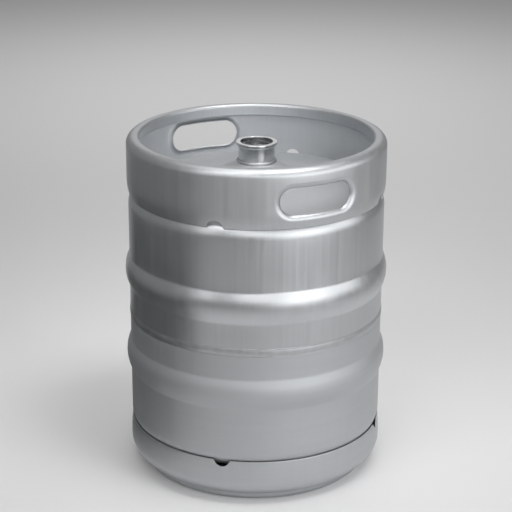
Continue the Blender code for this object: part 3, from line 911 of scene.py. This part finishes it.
def coil(bottom, top, radius, turns, steps):
    """List points up a coil whose end turns lie flat."""
    flat = 0.75
    easing = 0.3
    count = round(turns * steps)
    points = []
    for i in range(count + 1):
        turn = turns * i / count
        share = min(1.0, max(0.0, (turn - flat) / (turns - 2 * flat)))
        eased = easing * share * share * (3 - 2 * share) + (1 - easing) * share
        angle = 2 * pi * turn
        points.append((radius * cos(angle), radius * sin(angle), bottom + (top - bottom) * eased))
    return points


def ring_outline(node, outer, inner, rounding):
    """Draw a plain ring of a solid's height."""
    return rounded([(outer, high(node), rounding), (outer, low(node), rounding),
                    (inner, low(node), rounding), (inner, high(node), rounding)])


class KEG_OT_upper_shell(bpy.types.Operator):
    """Press the upper shell with its boss, shoulder and hoop"""

    bl_idname = "keg.upper_shell"
    bl_label = "Upper Shell"

    def execute(self, context):
        shell = context.scene.keg_shell
        finish = context.scene.keg_finish
        surface = pickled_sheet("pickled_upper_shell", finish.sheet, roughness=0.37)
        # The dome inside the recess takes the paler sheet, which is painted light.
        sheltered = pickled_sheet("dome_painted_light", finish.sheltered, roughness=0.55)
        outline = sheet_outline(upper_shell_path(shell), shell.wall)
        piece = turned("pressed_upper_shell", outline, LARGE_STEPS, surface)
        piece.data.materials.append(sheltered)
        # Faces above the top chime's foot lie in the recess and take the paler sheet as painted light.
        above_foot = 0.004
        recess = context.scene.keg_chime.foot + above_foot
        for face in piece.data.polygons:
            face.material_index = int(face.center.z > recess)
        stands_for(piece, "keg", "shell_steel", "upper_shell")
        return {'FINISHED'}


class KEG_OT_lower_shell(bpy.types.Operator):
    """Press the lower shell with its hoop and domed bottom"""

    bl_idname = "keg.lower_shell"
    bl_label = "Lower Shell"

    def execute(self, context):
        shell = context.scene.keg_shell
        finish = context.scene.keg_finish
        # The lower shell's darker sheet colour is painted shade.
        surface = pickled_sheet("pickled_lower_shell", finish.lower_sheet, roughness=0.60, rolled=0.05)
        piece = turned("pressed_lower_shell", lower_shell_outline(shell), LARGE_STEPS, surface)
        stands_for(piece, "keg", "shell_steel", "lower_shell")
        return {'FINISHED'}


class KEG_OT_girth_weld(bpy.types.Operator):
    """Lay the weld that joins the two shells"""

    bl_idname = "keg.girth_weld"
    bl_label = "Girth Weld"

    def execute(self, context):
        surface = weld_bead("girth_bead", context.scene.keg_finish.weld, ripples=620)
        piece = turned("rolled_girth_weld", weld_outline(context.scene.keg_shell), LARGE_STEPS, surface)
        stands_for(piece, "keg", "weld_steel", "girth_weld")
        return {'FINISHED'}


class KEG_OT_top_chime(bpy.types.Operator):
    """Roll the top chime with its hand holds, notches and rim"""

    bl_idname = "keg.top_chime"
    bl_label = "Top Chime"

    def execute(self, context):
        chime = context.scene.keg_chime
        finish = context.scene.keg_finish
        surface = pickled_sheet("pickled_top_chime", finish.sheet, roughness=0.43)
        # The chime's inside takes the paler sheet as painted light.
        inside = pickled_sheet("top_chime_inside_painted_light", finish.sheltered, roughness=0.64)
        piece = chime_piece("rolled_top_chime", top_chime_mesh(chime), chime.wall, surface, inside)
        stands_for(piece, "keg", "chime_steel", "top_chime")
        return {'FINISHED'}


class KEG_OT_bottom_chime(bpy.types.Operator):
    """Roll the bottom chime with its notches and foot"""

    bl_idname = "keg.bottom_chime"
    bl_label = "Bottom Chime"

    def execute(self, context):
        chime = context.scene.keg_chime
        finish = context.scene.keg_finish
        # The bottom chime's darker sheet colour is painted shade.
        surface = pickled_sheet("pickled_bottom_chime", finish.lower_sheet, roughness=0.50, rolled=0.12)
        # The bottom chime's inside takes the paler sheet as painted light.
        inside = pickled_sheet("bottom_chime_inside_painted_light", finish.sheltered, roughness=0.64)
        piece = chime_piece("rolled_bottom_chime", bottom_chime_mesh(chime), chime.wall, surface, inside)
        stands_for(piece, "keg", "chime_steel", "bottom_chime")
        return {'FINISHED'}


class KEG_OT_stitch_welds(bpy.types.Operator):
    """Lay the stitch welds under both chimes"""

    bl_idname = "keg.stitch_welds"
    bl_label = "Stitch Welds"

    def execute(self, context):
        surface = weld_bead("stitch_bead", context.scene.keg_finish.weld, ripples=520)
        half_angle = radians(27)
        bead = 0.0013
        steps = 36
        for edge in ("top", "bottom"):
            for i in range(4):
                node = f"{edge}_chime_weld_{i + 1}"
                r = max(abs(c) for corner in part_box(node) for c in (corner.x, corner.y)) - bead
                z = (low(node) + high(node)) / 2
                start = i * pi / 2 - half_angle
                angles = [start + 2 * half_angle * j / steps for j in range(steps + 1)]
                points = [(r * cos(a), r * sin(a), z) for a in angles]
                piece = wire(f"stitch_{node}", points, bead, surface)
                stands_for(piece, "keg", "weld_steel", node)
        return {'FINISHED'}


class KEG_OT_neck(bpy.types.Operator):
    """Turn the neck with its lip, and lay its weld"""

    bl_idname = "keg.neck"
    bl_label = "Neck"

    def execute(self, context):
        finish = context.scene.keg_finish
        self.add_neck(turned_steel("turned_neck", finish.turned, roughness=0.15, cut=0.08))
        self.add_weld(weld_bead("neck_bead", finish.weld, ripples=110))
        return {'FINISHED'}

    def add_neck(self, steel):
        """Turn the neck with its lip, its seat for the seal and its groove for the ring."""
        body, bore, seat_r, groove_r = NECK_RADIUS, 0.0246, 0.021, 0.026
        seat, groove_low, groove_high = 0.482, 0.5032, 0.5056
        lip, top, bottom = reach("neck"), high("neck"), low("neck")
        lip_low = top - 0.0045
        outline = rounded([(bore, top, 0.0008), (lip, top, 0.0009), (lip, lip_low, 0.0009),
                           (body, lip_low, 0.0022), (body, bottom, 0.0005), (seat_r, bottom, 0.0005),
                           (seat_r, seat, 0.0003), (bore, seat, 0.0), (bore, groove_low, 0.0002),
                           (groove_r, groove_low, 0.0), (groove_r, groove_high, 0.0),
                           (bore, groove_high, 0.0002)])
        neck = turned("turned_neck", outline, SMALL_STEPS, steel)
        stands_for(neck, "keg", "turned_steel", "neck")

    def add_weld(self, bead):
        """Lay the hollow weld between the neck and the shell's boss."""
        inner, outer = NECK_RADIUS + GAP, reach("neck_weld")
        bottom, top = low("neck_weld"), high("neck_weld")
        hollow_r, hollow, heel = inner + 0.0022, top - 0.0016, bottom + 0.0013
        outline = rounded([(inner, top, 0.0004), (hollow_r, hollow, 0.0015),
                           (outer, bottom, 0.0003), (inner, heel, 0.0)])
        weld = turned("neck_fillet", outline, SMALL_STEPS, bead)
        stands_for(weld, "keg", "weld_steel", "neck_weld")


class KEG_OT_valve(bpy.types.Operator):
    """Turn the valve body, its seals, its ring and its cage"""

    bl_idname = "keg.valve"
    bl_label = "Valve"

    def execute(self, context):
        finish = context.scene.keg_finish
        steel = turned_steel("turned_valve", finish.turned, roughness=0.24, cut=0.3)
        self.add_body(steel)
        self.add_cage(steel)
        self.add_seals(seal_rubber("valve_rubber", finish.rubber))
        self.add_ring(spring_wire("ring_wire", finish.spring))
        return {'FINISHED'}

    def add_body(self, steel):
        """Turn the valve body and cut the slots between its lugs."""
        outer, top, bottom = reach("extractor_body"), high("extractor_body"), low("extractor_body")
        shoulder = high("body_seal") + GAP
        sleeve, sleeve_bore, collar, lug, port = 0.0206, 0.0192, 0.0218, 0.0195, 0.0155
        seat, port_top, lug_low = 0.491, 0.4945, top - 0.003
        outline = rounded([(outer, top, 0.0005), (outer, shoulder, 0.0003), (sleeve, shoulder, 0.0),
                           (sleeve, bottom, 0.0004), (sleeve_bore, bottom, 0.0004),
                           (sleeve_bore, seat, 0.0005), (port, seat, 0.0004), (port, port_top, 0.0009),
                           (collar, port_top, 0.0008), (collar, lug_low, 0.0), (lug, lug_low, 0.0003),
                           (lug, top, 0.0006)])
        piece = turned("lugged_valve_body", outline, SMALL_STEPS, steel)
        slot_width, slot_depth, slot_middle, margin = 0.018, 0.004, top - 0.0015, 0.001
        cut_box(piece, (0.0, 0.0, slot_middle), (slot_width, 2 * collar - margin, slot_depth))
        stands_for(piece, "keg", "turned_steel", "extractor_body")

    def add_cage(self, steel):
        """Turn the spring cage and cut its gas windows."""
        outer, top, bottom = reach("spring_cage"), high("spring_cage"), low("spring_cage")
        bore, hole, floor = outer - 0.0012, 0.0086, bottom + 0.002
        outline = rounded([(outer, top, 0.0003), (outer, bottom, 0.0012), (hole, bottom, 0.0004),
                           (hole, floor, 0.0004), (bore, floor, 0.0006), (bore, top, 0.0003)])
        piece = turned("windowed_cage", outline, SMALL_STEPS, steel)
        middle = (floor + low("extractor_body")) / 2
        width, height, through = 0.012, 0.020, 3 * outer
        cut_box(piece, (0.0, 0.0, middle), (through, width, height))
        cut_box(piece, (0.0, 0.0, middle), (width, through, height))
        stands_for(piece, "keg", "turned_steel", "spring_cage")

    def add_seals(self, rubber):
        """Mould the seal under the valve body and the seal of the gas port."""
        outline = ring_outline("body_seal", reach("body_seal"), inner=0.0213, rounding=0.0004)
        seal = turned("neck_seal", outline, SMALL_STEPS, rubber)
        stands_for(seal, "keg", "seal_rubber", "body_seal")
        outer, bore = reach("valve_seal"), 0.0083
        top, bottom = high("valve_seal"), low("valve_seal")
        outline = rounded([(outer, top, 0.0008), (outer, bottom, 0.0005),
                           (bore, bottom, 0.0003), (bore, top, 0.0014)])
        valve = turned("gas_seal", outline, SMALL_STEPS, rubber)
        stands_for(valve, "spear_tube", "seal_rubber", "valve_seal")

    def add_ring(self, steel):
        """Bend the retaining ring and cut its split."""
        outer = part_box("retaining_ring")[1].y
        outline = ring_outline("retaining_ring", outer, inner=0.0226, rounding=0.0003)
        ring = turned("split_ring", outline, SMALL_STEPS, steel)
        split = (0.012, 0.009, 0.012)
        cut_box(ring, (outer, 0.0, low("retaining_ring")), split)
        stands_for(ring, "keg", "spring_steel", "retaining_ring")


class KEG_OT_spear(bpy.types.Operator):
    """Turn the spear's head and tube, and grind its ball"""

    bl_idname = "keg.spear"
    bl_label = "Spear"

    def execute(self, context):
        finish = context.scene.keg_finish
        steel = turned_steel("turned_spear", finish.turned, roughness=0.22, cut=0.3)
        self.add_head(steel)
        self.add_tube(steel)
        self.add_ball(polished_ball("polished_ball", finish.ball))
        return {'FINISHED'}

    def add_head(self, steel):
        """Turn the tube head: its flange, its cup for the ball and its socket for the tube."""
        top, bottom, flange = high("tube_head"), low("tube_head"), reach("tube_head")
        flange_low = top - 0.0022
        cup, cup_bore, cup_floor = 0.013, 0.0115, 0.463
        socket, socket_bore, socket_top, way = 0.0096, 0.0083, 0.4585, BEER_WAY
        cone_low, way_top = cup_floor - 0.002, socket_top + 0.002
        outline = rounded([(flange, top, 0.0004), (flange, flange_low, 0.0004), (cup, flange_low, 0.0006),
                           (cup, cone_low, 0.001), (socket, socket_top, 0.001),
                           (socket, bottom, 0.0003), (socket_bore, bottom, 0.0003),
                           (socket_bore, socket_top, 0.0), (way, socket_top, 0.0002),
                           (way, way_top, 0.0003), (cup_bore, cup_floor, 0.0006),
                           (cup_bore, top, 0.0004)])
        head = turned("cupped_tube_head", outline, SMALL_STEPS, steel)
        stands_for(head, "spear_tube", "turned_steel", "tube_head")

    def add_tube(self, steel):
        """Draw the tube that reaches down to the bottom."""
        outline = ring_outline("down_tube", reach("down_tube"), BEER_WAY, rounding=0.0003)
        tube = turned("drawn_down_tube", outline, SMALL_STEPS, steel)
        stands_for(tube, "spear_tube", "turned_steel", "down_tube")

    def add_ball(self, polish):
        """Grind the ball that closes the beer's way."""
        radius = (high("beer_ball") - low("beer_ball")) / 2
        bm = bmesh.new()
        bmesh.ops.create_icosphere(bm, subdivisions=5, radius=radius)
        bmesh.ops.translate(bm, verts=bm.verts, vec=(0.0, 0.0, low("beer_ball") + radius))
        ball = finish_mesh("ground_ball", mesh_from(bm, "ground_ball"), polish)
        stands_for(ball, "beer_ball", "ball_steel", "beer_ball")


class KEG_OT_springs(bpy.types.Operator):
    """Wind the two springs in their place at rest; in the keg they shorten as the valve opens"""

    bl_idname = "keg.springs"
    bl_label = "Springs"

    def execute(self, context):
        surface = spring_wire("valve_springs", context.scene.keg_finish.spring)
        self.wind("wound_main_spring", "main_spring", 0.0009, 6, ("keg", "spear_tube"), surface)
        self.wind("wound_ball_spring", "ball_spring", 0.0006, 3.5, ("spear_tube", "beer_ball"), surface)
        return {'FINISHED'}

    def wind(self, name, node, radius, turns, bodies, surface):
        """Wind one spring in its solid's place; the two bodies it is given are not used."""
        points = coil(low(node) + radius, high(node) - radius, reach(node) - radius, turns, steps=40)
        piece = wire(name, points, radius, surface, sides=16)
        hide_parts(node)
        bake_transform(piece)


# Stage

# The photograph's camera: its place and aim, its focal length and picture in pixels, a sensor in mm
VIEW_AZIMUTH = radians(-117.2)
CAMERA_DISTANCE = 2.3535
CAMERA_HEIGHT = 1.1748
CAMERA_PITCH = radians(19.674)
CAMERA_ROLL = radians(0.315)
FOCAL_PIXELS = 1595.9
PICTURE_PIXELS = 512
SENSOR = 36.0


def about_keg(turn, distance, height):
    """Place a point round the keg, turned to the right of the camera as the camera sees it."""
    angle = VIEW_AZIMUTH + radians(turn)
    return Vector((distance * cos(angle), distance * sin(angle), height))


def add_camera():
    """Stand the camera where the photograph was taken from."""
    data = bpy.data.cameras.new("camera")
    data.sensor_width = SENSOR
    data.lens = FOCAL_PIXELS * SENSOR / PICTURE_PIXELS
    camera = bpy.data.objects.new("camera", data)
    place = about_keg(0.0, CAMERA_DISTANCE, CAMERA_HEIGHT)
    heading = Matrix.Rotation(VIEW_AZIMUTH + pi / 2, 4, 'Z')
    tilt = Matrix.Rotation(pi / 2 - CAMERA_PITCH, 4, 'X')
    roll = Matrix.Rotation(CAMERA_ROLL, 4, 'Z')
    camera.matrix_world = Matrix.Translation(place) @ heading @ tilt @ roll
    bpy.context.scene.collection.objects.link(camera)
    bpy.context.scene.camera = camera


def add_light(name, place, target, size, power, beam):
    """Hang one soft light that faces a point and keeps to a beam in degrees."""
    data = bpy.data.lights.new(name, 'AREA')
    data.shape = 'RECTANGLE'
    data.size, data.size_y = size
    data.energy = power
    data.spread = radians(beam)
    light = bpy.data.objects.new(name, data)
    light.location = place
    light.rotation_euler = (Vector(target) - place).to_track_quat('-Z', 'Y').to_euler()
    light.visible_camera = False
    bpy.context.scene.collection.objects.link(light)


class KEG_OT_stage(bpy.types.Operator):
    """Lay the floor and set up the soft studio light and the camera"""

    bl_idname = "keg.stage"
    bl_label = "Stage"

    def execute(self, context):
        add_camera()
        self.lay_ground(context.scene.keg_finish)
        self.hang_lights()
        self.brighten(context.scene)
        return {'FINISHED'}

    def lay_ground(self, finish):
        """Lay the pale floor, and the dark card on the keg's left that only reflections see."""
        half = 30.0
        corners = [(-half, -half, 0.0), (half, -half, 0.0), (half, half, 0.0), (-half, half, 0.0)]
        self.lay("studio_floor", corners, matt_ground("pale_floor", finish.floor))
        first, last = -50.0, -140.0
        near, far, height = 0.36, 2.2, 0.002
        beside = [about_keg(turn, distance, height) for turn, distance in
                  ((first, near), (first, far), (last, far), (last, near))]
        card = self.lay("dark_card", beside, matt_ground("dark_card", finish.card))
        card.visible_camera = False
        card.visible_shadow = False
        card.visible_diffuse = False

    def hang_lights(self):
        """Hang the soft lights round the keg, above it and over the floor behind it."""
        middle, head = (0.0, 0.0, 0.28), (0.0, 0.0, 0.5)
        add_light("key_low", about_keg(38.0, 1.4, 0.42), middle, size=(1.7, 0.6), power=1.1, beam=120.0)
        add_light("key_tall", about_keg(44.0, 1.6, 0.78), middle, size=(1.5, 1.0), power=2.2, beam=90.0)
        add_light("front_tall", about_keg(-2.0, 1.7, 1.0), middle, size=(1.1, 0.7), power=1.0, beam=90.0)
        add_light("left_high", about_keg(-25.0, 1.3, 1.9), head, size=(1.0, 0.7), power=0.6, beam=45.0)
        add_light("side_tall", about_keg(82.0, 1.6, 0.8), middle, size=(0.6, 1.1), power=0.85, beam=90.0)
        add_light("strip", about_keg(-42.0, 1.7, 1.1), middle, size=(0.35, 1.4), power=0.7, beam=90.0)
        add_light("right_high", about_keg(50.0, 0.8, 2.2), head, size=(0.8, 0.8), power=0.8, beam=35.0)
        add_light("back", about_keg(180.0, 1.9, 1.3), head, size=(1.8, 0.8), power=0.6, beam=90.0)
        add_light("top", Vector((0.0, 0.0, 2.2)), middle, size=(1.7, 1.7), power=3.8, beam=90.0)
        far, near = about_keg(180.0, 2.4, 0.0), about_keg(140.0, 1.1, 0.0)
        add_light("far_floor", about_keg(180.0, 2.6, 2.4), far, size=(2.0, 1.6), power=9.0, beam=90.0)
        add_light("side_floor", about_keg(140.0, 1.3, 2.6), near, size=(1.2, 1.2), power=0.8, beam=70.0)

    def brighten(self, scene):
        """Fill the studio with a faint even light."""
        world = bpy.data.worlds.new("studio")
        world.use_nodes = True
        background = world.node_tree.nodes["Background"]
        background.inputs["Color"].default_value = (1.0, 1.0, 1.0, 1.0)
        background.inputs["Strength"].default_value = 0.25
        scene.world = world
        scene.view_settings.view_transform = 'Standard'

    def lay(self, name, corners, surface):
        """Lay one flat sheet on the studio's ground."""
        mesh = bpy.data.meshes.new(name)
        mesh.from_pydata([tuple(corner) for corner in corners], [], [range(len(corners))])
        mesh.materials.append(surface)
        sheet = bpy.data.objects.new(name, mesh)
        bpy.context.scene.collection.objects.link(sheet)
        return sheet


class KEG_PT_panel(bpy.types.Panel):
    """List the keg's pieces and finishes"""

    bl_idname = "KEG_PT_panel"
    bl_label = "Beer Keg"
    bl_space_type = 'VIEW_3D'
    bl_region_type = 'UI'
    bl_category = "Keg"

    def draw(self, context):
        layout = self.layout
        for group in (context.scene.keg_shell, context.scene.keg_chime, context.scene.keg_finish):
            box = layout.box()
            for key in group.bl_rna.properties.keys():
                if key not in {"rna_type", "name"}:
                    box.prop(group, key)
        for operator in OPERATORS:
            layout.operator(operator.bl_idname)


OPERATORS = (KEG_OT_upper_shell, KEG_OT_lower_shell, KEG_OT_girth_weld, KEG_OT_top_chime,
             KEG_OT_bottom_chime, KEG_OT_stitch_welds, KEG_OT_neck, KEG_OT_valve, KEG_OT_spear,
             KEG_OT_springs, KEG_OT_stage)
CLASSES = (KegShellSizes, KegChimeSizes, KegFinish, *OPERATORS, KEG_PT_panel)


def register():
    """Add the classes and their settings."""
    for cls in CLASSES:
        bpy.utils.register_class(cls)
    bpy.types.Scene.keg_shell = bpy.props.PointerProperty(type=KegShellSizes)
    bpy.types.Scene.keg_chime = bpy.props.PointerProperty(type=KegChimeSizes)
    bpy.types.Scene.keg_finish = bpy.props.PointerProperty(type=KegFinish)


def unregister():
    """Take the settings and the classes away again."""
    del bpy.types.Scene.keg_finish
    del bpy.types.Scene.keg_chime
    del bpy.types.Scene.keg_shell
    for cls in reversed(CLASSES):
        bpy.utils.unregister_class(cls)


def main():
    """Build every piece and the stage."""
    register()
    bpy.ops.keg.upper_shell()
    bpy.ops.keg.lower_shell()
    bpy.ops.keg.girth_weld()
    bpy.ops.keg.top_chime()
    bpy.ops.keg.bottom_chime()
    bpy.ops.keg.stitch_welds()
    bpy.ops.keg.neck()
    bpy.ops.keg.valve()
    bpy.ops.keg.spear()
    bpy.ops.keg.springs()
    bpy.ops.keg.stage()


if __name__ == "__main__":
    main()
